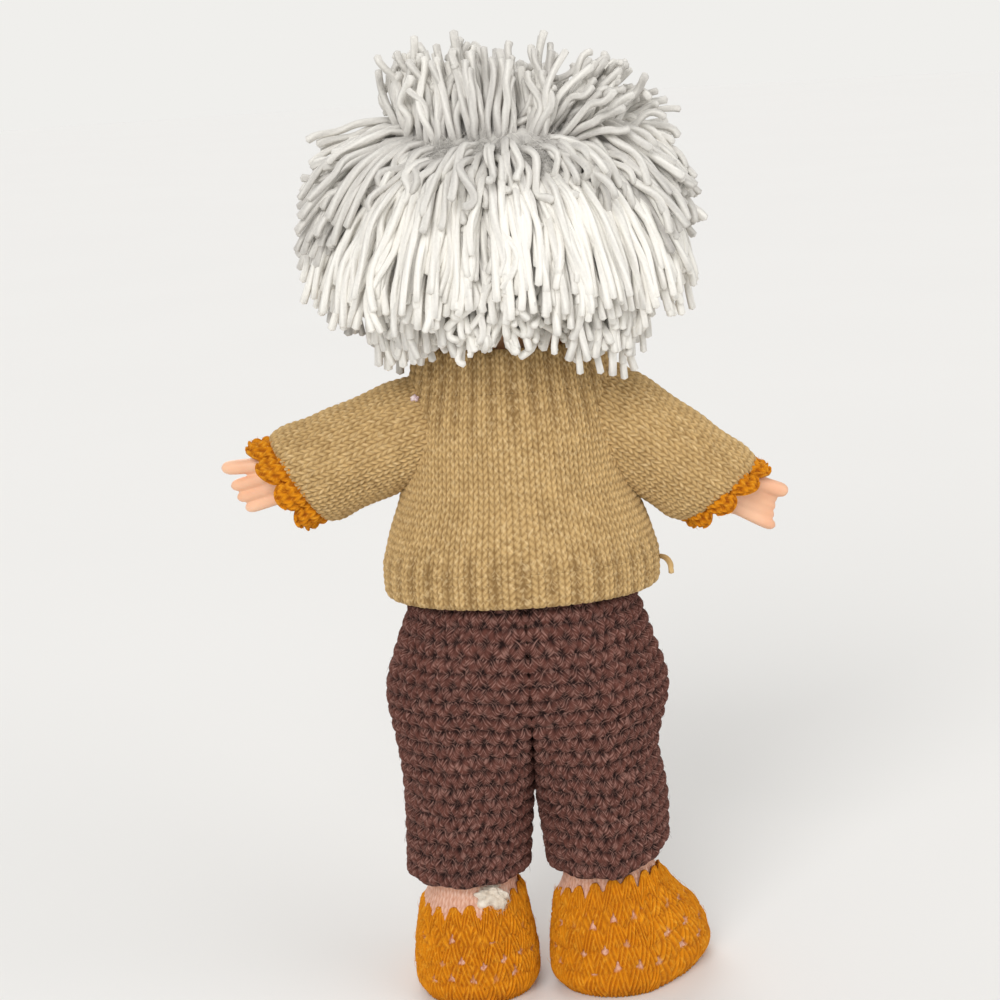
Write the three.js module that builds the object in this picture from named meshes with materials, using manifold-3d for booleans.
// Stuffed cloth doll with yarn hair, a knitted sweater, crocheted trousers and socks, and moulded hands.
// Millimetres, +Z up. The doll stands on its soles and faces -Y, with its own left side towards +X.

import * as THREE from 'three';
import { mergeVertices } from 'three/addons/utils/BufferGeometryUtils.js';
import Module from 'manifold-3d';

const wasm = await Module();
wasm.setup();

// Clearances
const gap = 0.3;                // between pieces that lie on each other
const jointGap = 0.5;           // between the two sides of a turning joint

// Build of the doll, from the soles up
const ankleHeight = 64;         // soles to the twist seam between foot and leg
const legLength = 58;           // twist seam to the hip pivot
const torsoLength = 124;        // hip pivot to the shoulder pivot
const headRise = 87;            // shoulder pivot to the middle of the head
const hipSpread = 27.8;         // hip pivot, out from the middle
const shoulderSpread = 41;      // shoulder pivot, out from the middle

// Torso under the clothes
const skinWall = 1.4;
const waistRise = 62;           // hip pivot to the waist
const waistSlack = 1;           // more room in the trousers' waist
const hipSlack = 0.9;           // and at their hips
const chestHalf = { width: 42, depth: 27 };
const ease = 0.4;               // slack of the clothes on the body
const neckRadius = 19;          // torso skin where it is tied round the neck
const neckTieHeight = 10;       // length of the tied neck
const neckDrop = 16;            // shoulder pivot up to the tied neck

// Sweater
const sweaterWall = 3;
const hemHalf = { width: 58, depth: 39 };
const hemDrop = 65;             // shoulder pivot down to the hem's lower edge
const hemHeight = 14;
const armpitHalf = { width: 49.5, depth: 33 };
const armpitDrop = 24;          // shoulder pivot down to the armpit
const collarBase = { width: 42, depth: 30 };
const collarTop = { width: 39.5, depth: 31 };
const collarRise = 22;          // shoulder pivot up to the collar
const collarHeight = 18;
const hemRibs = 24;
const collarRibs = 18;
const ribDepth = 0.8;

// Arms, along the arm from the shoulder pivot
const armBall = 21;             // sleeve's rounded shoulder end
const sleeveLength = 57;
const sleeveEnd = 20.8;         // sleeve radius at its open end
const sleeveHole = 10;          // opening in the sleeve's shoulder end
const armLength = 50;           // arm skin, up to its end at the wrist
const wristRadius = 11;
const wristTieInset = 5;         // tying thread back from the arm skin's end
const pinchHalf = 2;            // half the length of the tied wrist
const wristTieWire = 0.9;       // radius of the tying thread's ring
const cuffReach = 66.5;
const cuffEnd = 18.6;
const cuffWall = 2.2;
const cuffShells = 9;
const shellDepth = 2.6;         // height of a scallop on the cuff's edge
const handReach = 84;
const palmHalf = { width: 11.5, thickness: 6.5 };
const fingerRadius = 2.7;
const thumbRadius = 3;
const droopLeft = 17;           // arms below level, degrees
const droopRight = 35;
const droopLowest = 45;         // where the sleeve meets the sweater's side
const raiseHighest = 15;        // arm above level

// Trousers and legs
const trouserWall = 3.4;
const legBall = 26.6;           // trouser leg's rounded hip end
const trouserEnd = 25.2;        // trouser leg radius at its hem
const trouserHole = 14;         // opening in the trouser leg's hip end
const trouserHem = 54.5;         // hem above the soles
const seatHip = { width: 56.4, depth: 36 };
const seatWaist = { width: 47.6, depth: 31.6 };
const seatHipRise = 17;         // hip pivot to the widest line
const seatTop = 70;             // hip pivot to the waist edge
const seatDrop = 9;             // hip pivot down to the crotch
const hipForward = 85;          // leg swing, degrees
const hipBack = 10;

// Feet and socks
const sockWall = 2.4;
const sockTop = 49;
const ankleRadius = 17.2;       // foot skin at the ankle
const soleHalfWidth = 22;
const footHalfWidth = 24.5;
const heelReach = 24;           // behind the ankle
const toeReach = 50;            // in front of the ankle
const turnLeft = 6;             // toes turned out, degrees
const turnRight = 50;

// Head and hair
const headHalf = { width: 48, depth: 46, height: 45 };
const headWall = 2.6;
const noseReach = 5;
const capWall = 2;
const hairSpread = 30;          // hair past the head at its widest, on each side
const hairBehind = 16;          // and behind it
const fringeThick = 10;         // and in front of it
const crownThick = 11;          // and over the top
const faceRadius = 38;          // face opening in the hair
const faceDrop = 12;            // face opening's middle, below the head's middle
const hairHem = 44;             // head's middle down to the hair's lower edge
const napeRadius = 33;          // room under the hair for the collar
const crownRise = 30;           // head's middle up to the crown part
const clumpCount = 28;          // clumps of strands round the hair
const clumpDepth = 3.4;         // groove between two clumps
const clumpJag = 6;             // clumps' lower ends, longest to shortest
const tuftLocks = 18;           // locks that stand up behind the crown
const tuftLength = 38;
const tuftRoot = 6.5;
const tuftTip = 4;
const tuftSpan = 84;            // degrees each side of the back's middle
const tuftRise = 46;            // degrees up the head to the tuft's lowest roots
const tuftRow = 15;             // and from one row of roots to the next
const backSpan = 52;            // hair parts, degrees each side of the back's middle
const fringeSpan = 58;          // and of the front's middle

// Small pieces
const beadRadius = 2.1;
const tailWire = 1.1;
const tailLength = 12;
const wispRadius = 4;            // stuffing that shows at the left ankle

// Facets
const fine = 18;
const plain = 12;

// Heights that follow
const hipZ = ankleHeight + legLength;
const wristTieAt = armLength - wristTieInset;
const shoulderZ = hipZ + torsoLength;
const headZ = shoulderZ + headRise;
const collarZ = shoulderZ + collarRise;
const hemZ = shoulderZ - hemDrop;
const neckZ = shoulderZ + neckDrop;

const golden = 0.618034;        // spreads a run of values evenly without a pattern
const turn = (degrees) => THREE.MathUtils.degToRad(degrees);
const finish = (color, roughness) => new THREE.MeshStandardMaterial({ color, roughness, metalness: 0 });

const finishes = {
  skin: finish(0xe3b69e, 0.9),
  stuffing: finish(0xf1ece2, 1),
  vinyl: finish(0xebb68c, 0.5),
  hair: finish(0xe5e0d4, 0.95),
  sweater: finish(0xbe9e6c, 0.95),
  trousers: finish(0x653f37, 0.95),
  ochre: finish(0xcf8214, 0.95),
  thread: finish(0xd9c9b0, 0.8),
  bead: finish(0xe8d0d4, 0.4),
};

// Solids

function toSolid(geometry) {
  const bare = geometry.clone();
  bare.deleteAttribute('normal');
  bare.deleteAttribute('uv');
  const merged = mergeVertices(bare, 1e-4);
  const index = merged.index.array;
  const triVerts = [];
  for (let i = 0; i < index.length; i += 3) {
    const [a, b, c] = [index[i], index[i + 1], index[i + 2]];
    if (a !== b && b !== c && c !== a) triVerts.push(a, b, c);
  }
  const vertProperties = new Float32Array(merged.attributes.position.array);
  const build = (tris) => new wasm.Manifold(new wasm.Mesh({
    numProp: 3, vertProperties, triVerts: new Uint32Array(tris),
  }));
  const solid = build(triVerts);
  return solid.volume() > 0 ? solid : build(triVerts.reverse());
}

function toGeometry(solid) {
  const parts = solid.decompose();
  const largest = parts.reduce((best, part) => (part.volume() > best.volume() ? part : best));
  const mesh = largest.getMesh();
  const geometry = new THREE.BufferGeometry();
  geometry.setAttribute('position', new THREE.BufferAttribute(mesh.vertProperties, 3));
  geometry.setIndex(new THREE.BufferAttribute(mesh.triVerts, 1));
  geometry.computeVertexNormals();
  return geometry;
}

const joined = (solids) => solids.reduce((all, solid) => all.add(solid));
const cutBy = (solid, cutters) => cutters.reduce((rest, cutter) => rest.subtract(cutter), solid);
const moved = (geometry, matrix) => toSolid(geometry.clone().applyMatrix4(matrix));

function node(group, name, solid, material) {
  const mesh = new THREE.Mesh(toGeometry(solid), material);
  mesh.name = name;
  group.add(mesh);
}

// Grid of points joined into a closed surface. Rows close into a ring where wrapped, or end in fans.
function gridSolid(rows, wrapped) {
  const sides = rows[0].length;
  const points = rows.flat();
  const index = [];
  const last = wrapped ? rows.length : rows.length - 1;
  for (let r = 0; r < last; r += 1) {
    for (let s = 0; s < sides; s += 1) {
      const a = r * sides + s;
      const b = r * sides + (s + 1) % sides;
      const up = ((r + 1) % rows.length - r) * sides;
      index.push(a, b, b + up, a, b + up, a + up);
    }
  }
  if (!wrapped) {
    [rows[0], rows[rows.length - 1]].forEach((row, end) => {
      const centre = row.reduce((sum, p) => sum.add(p), new THREE.Vector3()).divideScalar(sides);
      const start = end ? (rows.length - 1) * sides : 0;
      points.push(centre);
      for (let s = 0; s < sides; s += 1) {
        const edge = [start + s, start + (s + 1) % sides];
        index.push(points.length - 1, ...(end ? edge : edge.reverse()));
      }
    });
  }
  const geometry = new THREE.BufferGeometry().setFromPoints(points);
  geometry.setIndex(index);
  return toSolid(geometry);
}

function ovalRow(halfX, halfY, z, sides, middleY = 0) {
  return Array.from({ length: sides }, (_, i) => {
    const angle = (i / sides) * 2 * Math.PI;
    return new THREE.Vector3(halfX * Math.cos(angle), middleY + halfY * Math.sin(angle), z);
  });
}

const station = (half, z) => new THREE.Vector3(half.width, half.depth, z);

// Solid through oval stations on a smooth curve, grown or shrunk sideways by an offset.
function ovalStack(stations, rows, sides, offset = 0) {
  const curve = new THREE.CatmullRomCurve3(stations, false, 'centripetal');
  return gridSolid(curve.getPoints(rows).map((p) => ovalRow(p.x + offset, p.y + offset, p.z, sides)), false);
}

// Solid turned about Z from points given as [radius, height].
function turned(points, sides) {
  const geometry = new THREE.LatheGeometry(points.map(([r, z]) => new THREE.Vector2(r, z)), sides);
  return geometry.rotateX(Math.PI / 2);
}

// Points of an arc from one angle to another, measured from +Z, as [radius, height].
function arcPoints(radius, from, to, steps, middle = 0) {
  return Array.from({ length: steps + 1 }, (_, i) => {
    const angle = turn(from + ((to - from) * i) / steps);
    return [Math.max(radius * Math.sin(angle), 0), middle + radius * Math.cos(angle)];
  });
}

const sides = [
  { name: 'left', sign: 1, droop: droopLeft, turnOut: turnLeft },
  { name: 'right', sign: -1, droop: droopRight, turnOut: turnRight },
];
const shoulderPivot = (sign) => new THREE.Vector3(sign * shoulderSpread, 0, shoulderZ);
const hipPivot = (sign) => new THREE.Vector3(sign * hipSpread, 0, hipZ);
const armDirection = (sign, droop) => new THREE.Vector3(
  sign * Math.cos(turn(droop)), 0, -Math.sin(turn(droop)));
const legDirection = (swing) => new THREE.Vector3(0, -Math.sin(turn(swing)), -Math.cos(turn(swing)));

// Room that a round limb sweeps about a hinge through its pivot: a ball behind, and the limb at both limits.
function sweptRoom(pivot, hinge, directionAt, from, to, radius, reach, { across, behind }) {
  const step = turn(from + 180 - to) / behind;
  const cutRadius = radius / (Math.cos(Math.PI / (2 * across)) * Math.cos(step / 2));
  const rows = Array.from({ length: across + 1 }, (_, i) => {
    const tilt = (Math.PI * i) / across;
    const onBall = (angle) => pivot.clone().addScaledVector(hinge, cutRadius * Math.cos(tilt))
      .addScaledVector(directionAt(angle), cutRadius * Math.sin(tilt));
    const ball = Array.from({ length: behind + 1 },
      (__, k) => onBall(to + 90 + ((from + 180 - to) * k) / behind));
    return [ball[0].clone().addScaledVector(directionAt(to), reach), ...ball,
      ball[behind].clone().addScaledVector(directionAt(from), reach)];
  });
  return gridSolid(rows, false);
}

// Rooms of both arms and both legs over their whole travel, with a wall left outside them.
function limbCuts(wall, facets) {
  const armRoom = Math.max(armBall, sleeveEnd) + jointGap + wall;
  const legRoom = Math.max(legBall, trouserEnd) + jointGap + wall;
  const fore = new THREE.Vector3(0, 1, 0);
  const aside = new THREE.Vector3(1, 0, 0);
  return sides.flatMap(({ sign }) => [
    sweptRoom(shoulderPivot(sign), fore, (droop) => armDirection(sign, droop),
      -raiseHighest, droopLowest, armRoom, sleeveLength, facets),
    sweptRoom(hipPivot(sign), aside, legDirection, -hipBack, hipForward, legRoom, legLength, facets),
  ]);
}
const shownFacets = { across: 8, behind: 6 };
const hiddenFacets = { across: 6, behind: 4 };
const travel = limbCuts(0, shownFacets);

// Outside of the trouser seat, from the crotch to the waist edge

const crotch = { width: 38, depth: 24 };
const seatStations = [
  station(crotch, hipZ - seatDrop),
  station({ width: seatHip.width * 0.97, depth: seatHip.depth * 0.86 }, hipZ),
  station(seatHip, hipZ + seatHipRise),
  station(seatWaist, hipZ + seatTop),
];

// Torso

function torsoStations(shrink) {
  const inside = trouserWall + gap + ease;
  const within = (p, slack) => new THREE.Vector3(p.x - inside - slack, p.y - inside - slack, p.z);
  const slacks = [hipSlack, hipSlack, hipSlack, waistSlack];
  const [low, , hips, waist] = seatStations.map((p, i) => within(p, slacks[i]));
  waist.z = hipZ + waistRise;
  low.add(new THREE.Vector3(-shrink, -shrink, inside + trouserWall + shrink));
  const share = (half, width, depth) => ({ width: half.width * width, depth: half.depth * depth });
  const neck = { width: neckRadius, depth: neckRadius };
  return [
    low,
    hips,
    waist,
    station(chestHalf, shoulderZ - armpitDrop / 2),
    station(share(chestHalf, 0.92, 0.95), shoulderZ + neckDrop * 0.3),
    station(share(neck, 1.15, 1.05), neckZ - neckDrop * 0.2),
    station(neck, neckZ),
    station(neck, neckZ + neckTieHeight),
  ];
}

const torsoRows = 9;
const neckBore = neckRadius - skinWall;
const flangeRadius = neckBore + 1.8;
const flangeHeight = 3;
const flangeTop = neckZ - neckDrop * 0.2 - jointGap;

function buildTorso(group) {
  const outer = cutBy(ovalStack(torsoStations(0), torsoRows, plain), limbCuts(0, hiddenFacets));
  const hollow = cutBy(ovalStack(torsoStations(skinWall), torsoRows, plain, -skinWall),
    limbCuts(skinWall, hiddenFacets));
  const mouthRadius = neckBore / Math.cos(Math.PI / fine);
  const mouth = toSolid(turned([[0, flangeTop], [mouthRadius, flangeTop],
    [mouthRadius, neckZ + neckTieHeight + 1], [0, neckZ + neckTieHeight + 1]], fine));
  const flangeRoom = toSolid(turned([[0, flangeTop - flangeHeight - jointGap],
    [flangeRadius + 2 * jointGap, flangeTop - flangeHeight - jointGap],
    [flangeRadius + 2 * jointGap, flangeTop + jointGap], [0, flangeTop + 1 + jointGap]], plain));
  node(group, 'torso_skin', cutBy(outer, [hollow, mouth, flangeRoom]), finishes.skin);

  const inset = skinWall + gap + ease;
  const fill = cutBy(ovalStack(torsoStations(inset), torsoRows, plain, -inset),
    limbCuts(inset, hiddenFacets));
  const fillTop = flangeTop - flangeHeight - gap;
  const neckRoom = toSolid(turned([[0, fillTop], [neckRadius * 2, fillTop],
    [neckRadius * 2, shoulderZ + torsoLength], [0, shoulderZ + torsoLength]], plain));
  node(group, 'torso_stuffing', cutBy(fill, [neckRoom]), finishes.stuffing);

  const tie = new THREE.TorusGeometry(neckRadius + wristTieWire + gap, wristTieWire, 5, plain + 4);
  tie.translate(0, 0, neckZ + neckTieHeight / 2);
  node(group, 'neck_tie', toSolid(tie), finishes.thread);
}

// Sweater

// Knitted band between two ovals, with upright ribs on its outer face.
function ribbedBand(low, high, bottom, top, wall, ribs) {
  const band = (half, z, inset, ribbed) => Array.from({ length: ribs * 2 }, (_, i) => {
    const angle = (i / (ribs * 2)) * 2 * Math.PI;
    const reach = ribbed && i % 2 ? ribDepth : 0;
    return new THREE.Vector3((half.width - inset - reach) * Math.cos(angle),
      (half.depth - inset - reach) * Math.sin(angle), z);
  });
  return gridSolid([band(low, bottom, 0, true), band(high, top, 0, true),
    band(high, top, wall, false), band(low, bottom, wall, false)], true);
}

function buildSweater(group) {
  const overChest = sweaterWall + 2 * gap;
  const bodyStations = [
    station(hemHalf, hemZ + hemHeight + gap),
    station(armpitHalf, shoulderZ - armpitDrop),
    new THREE.Vector3(chestHalf.width + overChest, chestHalf.depth + overChest, shoulderZ),
    station(collarBase, collarZ),
  ];
  const body = ovalStack(bodyStations, 9, fine);
  const room = ovalStack([
    new THREE.Vector3(hemHalf.width, hemHalf.depth, hemZ),
    ...bodyStations,
    new THREE.Vector3(collarBase.width, collarBase.depth, collarZ + collarHeight),
  ], 10, plain + 4, -sweaterWall);
  node(group, 'sweater_body', cutBy(body, [room, ...travel]), finishes.sweater);
  node(group, 'sweater_hem',
    ribbedBand(hemHalf, hemHalf, hemZ, hemZ + hemHeight, sweaterWall, hemRibs), finishes.sweater);
  node(group, 'sweater_collar',
    ribbedBand(collarBase, collarTop, collarZ + gap, collarZ + collarHeight, sweaterWall, collarRibs),
    finishes.sweater);

  const bead = new THREE.IcosahedronGeometry(beadRadius, 1);
  const beadAngle = turn(27);
  bead.translate((collarBase.width + beadRadius + gap) * Math.cos(beadAngle),
    (collarBase.depth + beadRadius + gap) * Math.sin(beadAngle), collarZ - beadRadius);
  node(group, 'shoulder_bead', toSolid(bead), finishes.bead);

  const tailEnd = -hemHalf.width - gap - tailWire;
  const tailPath = new THREE.CatmullRomCurve3([
    new THREE.Vector3(tailEnd - 1, 1, hemZ + hemHeight + 1),
    new THREE.Vector3(tailEnd, 0, hemZ + hemHeight / 2),
    new THREE.Vector3(tailEnd - 1, 2, hemZ + hemHeight - tailLength),
  ]);
  const section = new THREE.Shape().absarc(0, 0, tailWire, 0, 2 * Math.PI);
  const tail = new THREE.ExtrudeGeometry(section, { steps: 5, curveSegments: 3, extrudePath: tailPath });
  node(group, 'hem_yarn_tail', toSolid(tail), finishes.sweater);
}

// Arms and hands, along local +Z, with the hand's upper side towards -X times the side's sign

// Limb cover with a rounded end that has a round hole, open at its far end.
function limbCover(ball, hole, end, length, wall) {
  const steps = 4;
  const holeAngle = (radius) => 180 - THREE.MathUtils.radToDeg(Math.asin(hole / radius));
  const inner = ball - wall;
  return toSolid(turned([
    ...arcPoints(ball, holeAngle(ball), 90, steps),
    [(ball + end) / 2, length * 0.45], [end, length],
    [end - wall, length], [(ball + end) / 2 - wall, length * 0.45],
    ...arcPoints(inner, 90, holeAngle(inner), steps),
    arcPoints(ball, holeAngle(ball), 90, steps)[0],
  ], fine));
}

const wristPinch = wristRadius - 1.6;
const plugRadius = wristPinch - skinWall - gap;

function buildArm(group, { name }) {
  const ball = armBall - sweaterWall - gap - ease;
  const pinchLow = wristTieAt - pinchHalf;
  const pinchHigh = wristTieAt + pinchHalf;
  const forearm = wristRadius + 1;
  const skinSide = (offset) => [[ball * 0.86 - offset, armLength * 0.35], [forearm - offset, pinchLow - 5],
    [wristPinch - offset, pinchLow], [wristPinch - offset, pinchHigh], [wristRadius - offset, armLength]];
  const skin = turned([...arcPoints(ball, 180, 90, 4), ...skinSide(0), ...skinSide(skinWall).reverse(),
    ...arcPoints(ball - skinWall, 90, 180, 4)], plain);
  node(group, `arm_skin_${name}`, toSolid(skin), finishes.skin);

  const inset = skinWall + gap;
  const fillEnd = pinchLow - 8;
  const fill = turned([...arcPoints(ball - inset, 180, 90, 4), [ball * 0.86 - inset, armLength * 0.35],
    [forearm - inset, fillEnd], [0, fillEnd]], plain);
  node(group, `arm_stuffing_${name}`, toSolid(fill), finishes.stuffing);

  node(group, `sleeve_${name}`,
    limbCover(armBall, sleeveHole, sleeveEnd, sleeveLength, sweaterWall), finishes.sweater);

  const tie = new THREE.TorusGeometry(wristPinch + wristTieWire + gap, wristTieWire, 5, plain);
  tie.translate(0, 0, wristTieAt);
  node(group, `wrist_tie_${name}`, toSolid(tie), finishes.thread);

  const cuffRoot = wristPinch + 2 * wristTieWire + 2 * gap;
  const scallop = (i) => Math.abs(Math.sin((i / (cuffShells * 3)) * Math.PI * cuffShells)) * shellDepth;
  const cuffRow = (radius, z, share) => Array.from({ length: cuffShells * 3 }, (_, i) => {
    const angle = (i / (cuffShells * 3)) * 2 * Math.PI;
    return new THREE.Vector3(radius * Math.cos(angle), radius * Math.sin(angle), z + scallop(i) * share);
  });
  const rimZ = cuffReach - shellDepth;
  const cuff = gridSolid([cuffRow(cuffRoot, pinchLow, 0), cuffRow(cuffRoot, pinchHigh, 0),
    cuffRow(cuffEnd - cuffWall, rimZ, 0.7), cuffRow(cuffEnd, rimZ, 1),
    cuffRow(sleeveEnd - sweaterWall - jointGap, sleeveLength - 1, 0),
    cuffRow(cuffRoot + cuffWall, pinchLow, 0)], true);
  node(group, `cuff_${name}`, cuff, finishes.ochre);
}

function digit(from, to, radius) {
  const along = new THREE.Vector3().subVectors(to, from);
  const length = along.length();
  const shape = turned([...arcPoints(radius, 180, 90, 2), ...arcPoints(radius * 0.85, 90, 0, 3, length)], 6);
  const aim = new THREE.Quaternion().setFromUnitVectors(new THREE.Vector3(0, 0, 1), along.normalize());
  return moved(shape, new THREE.Matrix4().compose(from, aim, new THREE.Vector3(1, 1, 1)));
}

function buildHand(group, { name, sign }) {
  const up = -sign;
  const palmTop = handReach - 13;
  const lip = wristTieAt - 4.5 * pinchHalf;
  const lipRadius = plugRadius + skinWall;
  const plug = toSolid(turned([[0, lip], [lipRadius, lip],
    [lipRadius, lip + 1.5 * pinchHalf], [plugRadius, pinchHalf * -1.75 + wristTieAt],
    [plugRadius, armLength + 1], [0, armLength + 1]], plain));
  const wristZ = armLength + gap;
  const palm = gridSolid([
    ovalRow(wristPinch - 0.6, wristPinch - 1.4, wristZ, plain),
    ovalRow(palmHalf.width * 0.8, palmHalf.thickness, wristZ + (palmTop - wristZ) * 0.4, plain),
    ovalRow(palmHalf.width, palmHalf.thickness, wristZ + (palmTop - wristZ) * 0.75, plain),
    ovalRow(palmHalf.width * 0.94, palmHalf.thickness * 0.75, palmTop, plain),
    ovalRow(palmHalf.width * 0.7, palmHalf.thickness * 0.4, palmTop + 2, plain),
  ], false);
  const spread = palmHalf.width - fingerRadius;
  const fingers = [-1, -1 / 3, 1 / 3, 1].map((place, i) => {
    const tipZ = handReach - fingerRadius - [3.4, 1, 0, 1.4][i];
    return digit(new THREE.Vector3(up * place * spread, 0, palmTop - 4),
      new THREE.Vector3(up * place * spread * 1.2, -1, tipZ), fingerRadius);
  });
  const thumb = digit(new THREE.Vector3(up * palmHalf.width * 0.6, -1, palmTop - 12),
    new THREE.Vector3(up * (palmHalf.width + 5), -3, palmTop + 2), thumbRadius);
  node(group, `hand_${name}`, joined([plug, palm, thumb, ...fingers]), finishes.vinyl);
}

// Trousers and legs

function buildSeat(group) {
  const [low, ...upper] = seatStations;
  const waist = seatStations[seatStations.length - 1];
  const roomStations = [
    new THREE.Vector3(low.x, low.y, low.z + 2 * trouserWall),
    ...upper,
    new THREE.Vector3(waist.x, waist.y, waist.z + hemHeight),
  ];
  const outer = ovalStack(seatStations, 9, fine);
  const room = ovalStack(roomStations, 12, fine, -trouserWall);
  node(group, 'trouser_seat', cutBy(outer, [room, ...travel]), finishes.trousers);
}

function buildLeg(group, { name }) {
  const ball = legBall - trouserWall - gap - ease;
  const drop = legLength - gap;
  const skinSide = (offset) => [[ball * 0.9 - offset, drop * 0.5], [ankleRadius - offset, drop]];
  const skin = turned([...arcPoints(ball, 180, 90, 4), ...skinSide(0), ...skinSide(skinWall).reverse(),
    ...arcPoints(ball - skinWall, 90, 180, 4)], plain);
  node(group, `leg_skin_${name}`, toSolid(skin), finishes.skin);
  const inset = skinWall + gap;
  const fill = turned([...arcPoints(ball - inset, 180, 90, 4), ...skinSide(inset), [0, drop]], plain);
  node(group, `leg_stuffing_${name}`, toSolid(fill), finishes.stuffing);
  node(group, `trouser_leg_${name}`,
    limbCover(legBall, trouserHole, trouserEnd, hipZ - trouserHem, trouserWall), finishes.trousers);
}

// Feet, toes towards -Y

function footRows(offset, sole, top) {
  const toeTop = toeReach - sockWall;
  const rows = [
    [0, soleHalfWidth, heelReach * 0.875, toeReach * 0.92],
    [sockTop * 0.1, footHalfWidth * 0.975, heelReach, toeReach * 0.99],
    [sockTop * 0.31, footHalfWidth, heelReach, toeTop],
    [sockTop * 0.53, footHalfWidth * 0.94, heelReach * 0.98, toeReach * 0.8],
    [sockTop * 0.745, ankleRadius + 2 * sockWall, heelReach * 0.94, toeReach * 0.52],
    [sockTop, ankleRadius + sockWall + gap, ankleRadius + sockWall + gap, ankleRadius + sockWall + gap],
  ];
  return rows.map(([z, half, heel, toe], i) => ovalRow(half - offset, (heel + toe) / 2 - offset,
    [sole, ...rows.slice(1, -1).map((row) => row[0]), top][i], fine - 4, (heel - toe) / 2));
}

function buildFoot(group, { name }) {
  const inside = sockWall + gap;
  const sock = gridSolid(footRows(0, 0, sockTop), false);
  const sockRoom = gridSolid(footRows(sockWall, sockWall, sockTop + 1), false);
  node(group, `sock_${name}`, sock.subtract(sockRoom), finishes.ochre);

  const column = (offset, top) => ovalRow(ankleRadius - offset, ankleRadius - offset, top, fine - 4);
  const skin = gridSolid([...footRows(inside, inside, sockTop), column(0, ankleHeight)], false);
  const hollow = gridSolid([...footRows(inside + skinWall, inside + skinWall, sockTop),
    column(skinWall, ankleHeight + 1)], false);
  node(group, `foot_skin_${name}`, skin.subtract(hollow), finishes.skin);
  const inset = inside + skinWall + gap;
  node(group, `foot_stuffing_${name}`, gridSolid([...footRows(inset, inset, sockTop),
    column(skinWall + gap, ankleHeight)], false), finishes.stuffing);
}

function buildTuft(group) {
  const tuft = new THREE.IcosahedronGeometry(wispRadius, 1);
  tuft.scale(1, 0.35, 0.6);
  const tuftZ = sockTop + gap + wispRadius * 0.6;
  tuft.translate(-2, ankleRadius + gap + wispRadius * 0.35, tuftZ);
  node(group, 'stuffing_tuft', toSolid(tuft), finishes.stuffing);
}

// Head and hair, about the head's middle

const hairReach = headHalf.width * 3;   // past all of the hair
const lockReach = 0.9;          // share of a lock's length that lies along its own direction

function headSolid(offset, sidesAround, rings) {
  const rows = Array.from({ length: rings }, (_, r) => {
    const tilt = (Math.PI * (r + 0.5)) / rings;
    const level = -Math.cos(tilt);
    const share = Math.sin(tilt);
    return ovalRow((headHalf.width + offset) * share, (headHalf.depth + offset) * share,
      (headHalf.height + offset) * level, sidesAround);
  });
  return gridSolid(rows, false);
}

function buildHead(group) {
  const neckTop = headHalf.height * 0.8;
  const z = (height) => height - headZ;
  const flangeLow = z(flangeTop - flangeHeight);
  const groove = neckBore - jointGap;
  const neckSide = [[flangeRadius, flangeLow], [flangeRadius, z(flangeTop)], [groove, z(flangeTop) + 1],
    [groove, z(neckZ + neckTieHeight + jointGap)], [neckRadius, z(neckZ + neckTieHeight + 3)],
    [neckRadius, -neckTop]];
  const neck = toSolid(turned([[0, flangeLow], ...neckSide, [0, -neckTop]], fine));
  const bore = toSolid(turned([[0, flangeLow - 1], [groove - headWall, flangeLow - 1],
    [groove - headWall, -neckTop + headWall], [0, -neckTop + headWall]], plain));
  const nose = new THREE.SphereGeometry(noseReach, 10, 8);
  nose.scale(1, 0.9, 1.1);
  nose.translate(0, -headHalf.depth + 1, -headHalf.height * 0.22);
  const head = joined([headSolid(0, fine, 11), neck, toSolid(nose)]);
  node(group, 'head_shell', cutBy(head, [headSolid(-headWall, plain, 7), bore]), finishes.vinyl);
  const fill = headSolid(-headWall - gap, plain, 7);
  node(group, 'head_stuffing', fill, finishes.stuffing);

  const face = (radius) => moved(new THREE.CylinderGeometry(radius, radius, headHalf.depth * 3, fine),
    new THREE.Matrix4().makeTranslation(0, -headHalf.depth * 1.5 - headHalf.depth * 0.25, -faceDrop));
  const below = (depth) => moved(new THREE.BoxGeometry(hairReach * 2, hairReach * 2, hairReach),
    new THREE.Matrix4().makeTranslation(0, 0, -depth - hairReach / 2));
  const capFace = faceRadius + capWall;
  const capHem = hairHem * 0.75;
  const cap = headSolid(gap + capWall, fine, 11);
  const capRoom = headSolid(gap, fine, 11);
  node(group, 'hair_cap', cutBy(cap, [capRoom, face(capFace), below(capHem)]), finishes.hair);
  const nape = toSolid(turned([[0, -headHalf.height * 2], [napeRadius, -headHalf.height * 2],
    [napeRadius, -headHalf.height * 0.7], [0, -headHalf.height * 0.7]], fine));
  buildHair(group, [face(faceRadius), below(hairHem), nape]);
}

// Lock of yarn: a bent cone from the scalp, out and then along its own direction.
function lock(root, outward, flow, length) {
  const along = (out, on) => root.clone().addScaledVector(outward, length * out)
    .addScaledVector(flow, length * on);
  const across = new THREE.Vector3().crossVectors(outward, flow).normalize();
  const lift = new THREE.Vector3().crossVectors(flow, across).normalize();
  const rowAt = (centre, radius) => Array.from({ length: 5 }, (_, i) => {
    const angle = (i / 5) * 2 * Math.PI;
    return centre.clone().addScaledVector(across, radius * Math.cos(angle))
      .addScaledVector(lift, radius * Math.sin(angle));
  });
  return gridSolid([rowAt(root, tuftRoot), rowAt(along(0.1, lockReach / 2), tuftRoot * 0.85),
    rowAt(along(0.16, lockReach), tuftTip)], false);
}

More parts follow.
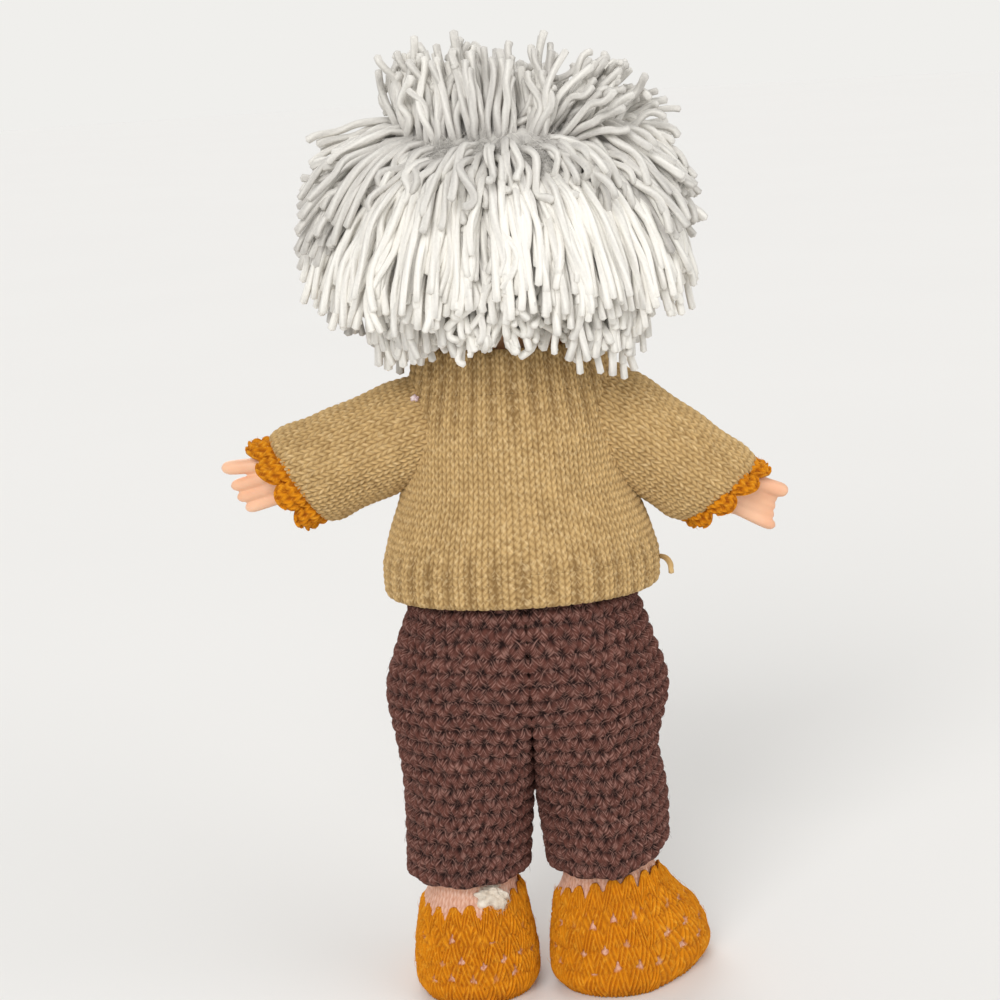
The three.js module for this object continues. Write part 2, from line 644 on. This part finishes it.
// Mop of hair: grooved rows from the jagged hem, out over the sides and in again to the crown.
function hairMass() {
  const width = headHalf.width + hairSpread;
  const back = headHalf.depth + hairBehind;
  const front = headHalf.depth + fringeThick;
  const top = headHalf.height + capWall + crownThick;
  const row = (z, share, jag) => Array.from({ length: clumpCount * 2 }, (_, i) => {
    const angle = (i / (clumpCount * 2)) * 2 * Math.PI;
    const groove = i % 2 ? clumpDepth : 0;
    const depth = Math.sin(angle) > 0 ? back : front;
    const drop = jag * ((Math.floor(i / 2) * golden) % 1);
    return new THREE.Vector3((width * share - groove) * Math.cos(angle),
      (depth * share - groove) * Math.sin(angle), z + drop);
  });
  return gridSolid([
    row(-hairHem, 0.8, clumpJag), row(-hairHem * 0.45, 0.94, 0), row(headHalf.height * 0.12, 1, 0),
    row(headHalf.height * 0.5, 0.93, 0), row(headHalf.height * 0.82, 0.74, 0), row(top, 0.4, 0),
  ], false);
}

// Hair in five parts round the head. Angles are measured about +Z from the back, left side positive.
function buildHair(group, openings) {
  const mass = hairMass();
  const room = headSolid(gap + capWall + gap, fine, 11);
  const wedge = (from, to, bottom, top) => {
    const steps = 6;
    const edge = Array.from({ length: steps + 1 }, (_, i) => turn(from + ((to - from) * i) / steps));
    const outline = [[0, 0], ...edge.map((a) => [hairReach * Math.sin(a), hairReach * Math.cos(a)])];
    const shape = new THREE.Shape(outline.map(([x, y]) => new THREE.Vector2(x, y)));
    const solid = new THREE.ExtrudeGeometry(shape, { depth: top - bottom, bevelEnabled: false });
    return toSolid(solid.translate(0, 0, bottom));
  };
  const seam = 0.4;             // degrees left between neighbouring parts
  const parts = [
    { name: 'hair_back', from: -backSpan, to: backSpan },
    { name: 'hair_left', from: backSpan, to: 180 - fringeSpan },
    { name: 'hair_right', from: fringeSpan - 180, to: -backSpan },
    { name: 'hair_fringe', from: 180 - fringeSpan, to: 180 + fringeSpan },
  ];
  parts.forEach(({ name, from, to }) => {
    const region = wedge(from + seam, to - seam, -hairHem, crownRise - gap);
    node(group, name, cutBy(mass, [room, ...openings]).intersect(region), finishes.hair);
  });

  const tuft = Array.from({ length: tuftLocks }, (_, i) => {
    const place = ((i + 0.5) / tuftLocks) * 2 - 1;
    const a = turn(place * tuftSpan);
    const row = i % 3;
    const e = turn(tuftRise + row * tuftRow);
    const outward = new THREE.Vector3(Math.sin(a) * Math.cos(e), Math.cos(a) * Math.cos(e), Math.sin(e));
    const root = new THREE.Vector3(headHalf.width, headHalf.depth, headHalf.height).multiply(outward)
      .addScaledVector(outward, capWall + tuftRoot + 2 * gap);
    const flow = new THREE.Vector3(place * 0.55, -0.1 - row * 0.2, 1).normalize();
    return lock(root, outward, flow, tuftLength * (0.75 + 0.25 * ((i * golden * 3) % 1)));
  });
  const crownTop = headHalf.height * 2;
  const crownDisc = new THREE.CylinderGeometry(hairReach, hairReach, crownTop, fine).rotateX(Math.PI / 2);
  const crownRegion = moved(crownDisc, new THREE.Matrix4().makeTranslation(0, 0, crownRise + crownTop / 2));
  const crown = cutBy(joined([mass, ...tuft]), [room, ...openings]);
  node(group, 'hair_crown', crown.intersect(crownRegion), finishes.hair);
}

// Whole doll, with its limbs turned as they lie

const doll = new THREE.Group();
const torso = new THREE.Group();
doll.add(torso);
buildTorso(torso);
buildSweater(torso);
buildSeat(torso);

const head = new THREE.Group();
head.position.z = headZ;
doll.add(head);
buildHead(head);

sides.forEach((side) => {
  const arm = new THREE.Group();
  arm.position.copy(shoulderPivot(side.sign));
  arm.rotation.y = side.sign * turn(90 + side.droop);
  doll.add(arm);
  buildArm(arm, side);
  buildHand(arm, side);

  const leg = new THREE.Group();
  leg.position.copy(hipPivot(side.sign));
  leg.rotation.x = Math.PI;
  doll.add(leg);
  buildLeg(leg, side);

  const foot = new THREE.Group();
  foot.position.x = side.sign * hipSpread;
  foot.rotation.z = side.sign * turn(side.turnOut);
  doll.add(foot);
  buildFoot(foot, side);
  if (side.name === 'left') buildTuft(foot);
});

// Origin under the middle of the doll's box, on the floor
doll.updateMatrixWorld(true);
const box = new THREE.Box3().setFromObject(doll, true);
const middle = box.getCenter(new THREE.Vector3());
doll.position.set(-middle.x, -middle.y, -box.min.z);
doll.updateMatrixWorld(true);

export default doll;
